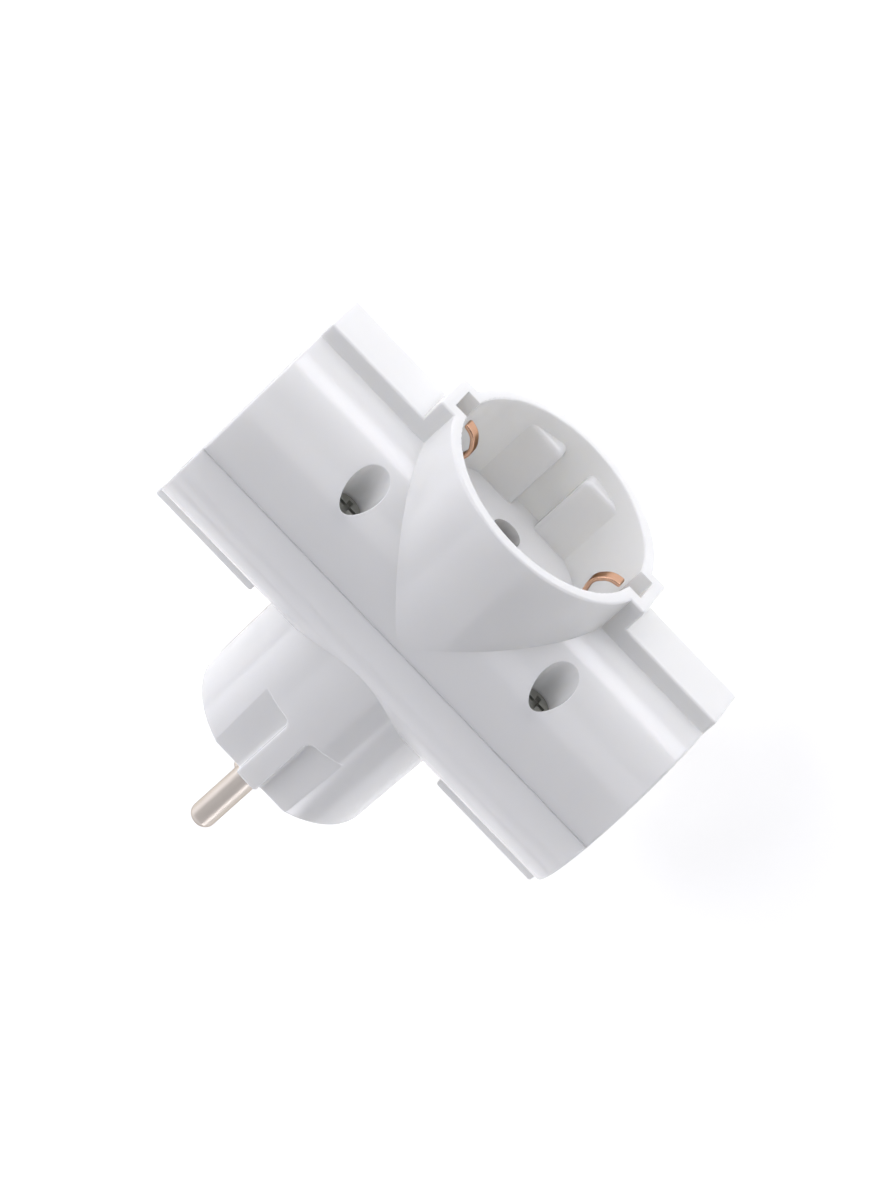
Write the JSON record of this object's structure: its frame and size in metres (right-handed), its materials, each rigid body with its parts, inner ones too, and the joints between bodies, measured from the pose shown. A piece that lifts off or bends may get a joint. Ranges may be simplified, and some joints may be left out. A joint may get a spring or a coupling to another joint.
{
  "type": "multi socket adapter",
  "caption": "White T-shaped mains adapter: a round earthed plug carries a crossbar with a socket at each end and another facing forward.",
  "frame": {"origin": "centre of the plug's flat end face, midway between the two pins", "axes": "+Y from the plug's end face towards the middle socket, X along the socket bar, +Z through the plug pins, upwards as it lies"},
  "size_m": [0.0916, 0.092, 0.044],
  "materials": {
    "white_plastic": "glossy moulded urea resin",
    "nickel": "nickel plated, lightly polished",
    "clip_bronze": "bright phosphor bronze strip",
    "contact_bronze": "phosphor bronze spring sheet",
    "contact_brass": "stamped brass",
    "zinc_steel": "zinc plated"
  },
  "bodies": {
    "root": {"front_shell": "white_plastic", "back_shell": "white_plastic", "live_plug_pin": "nickel", "live_busbar": "contact_brass", "live_front_contact": "contact_bronze", "live_left_contact": "contact_bronze", "live_left_rivet": "contact_brass", "live_right_contact": "contact_bronze", "live_right_rivet": "contact_brass", "neutral_plug_pin": "nickel", "neutral_busbar": "contact_brass", "neutral_front_contact": "contact_bronze", "neutral_left_contact": "contact_bronze", "neutral_left_rivet": "contact_brass", "neutral_right_contact": "contact_bronze", "neutral_right_rivet": "contact_brass", "front_earth_clip": "clip_bronze", "left_earth_clip": "clip_bronze", "right_earth_clip": "clip_bronze", "plug_earth_clip": "clip_bronze", "earth_bridge": "contact_brass", "earth_left_rivet": "contact_brass", "upper_left_screw": "zinc_steel", "lower_left_screw": "zinc_steel", "earth_right_rivet": "contact_brass", "upper_right_screw": "zinc_steel", "lower_right_screw": "zinc_steel"}
  },
  "joints": []
}
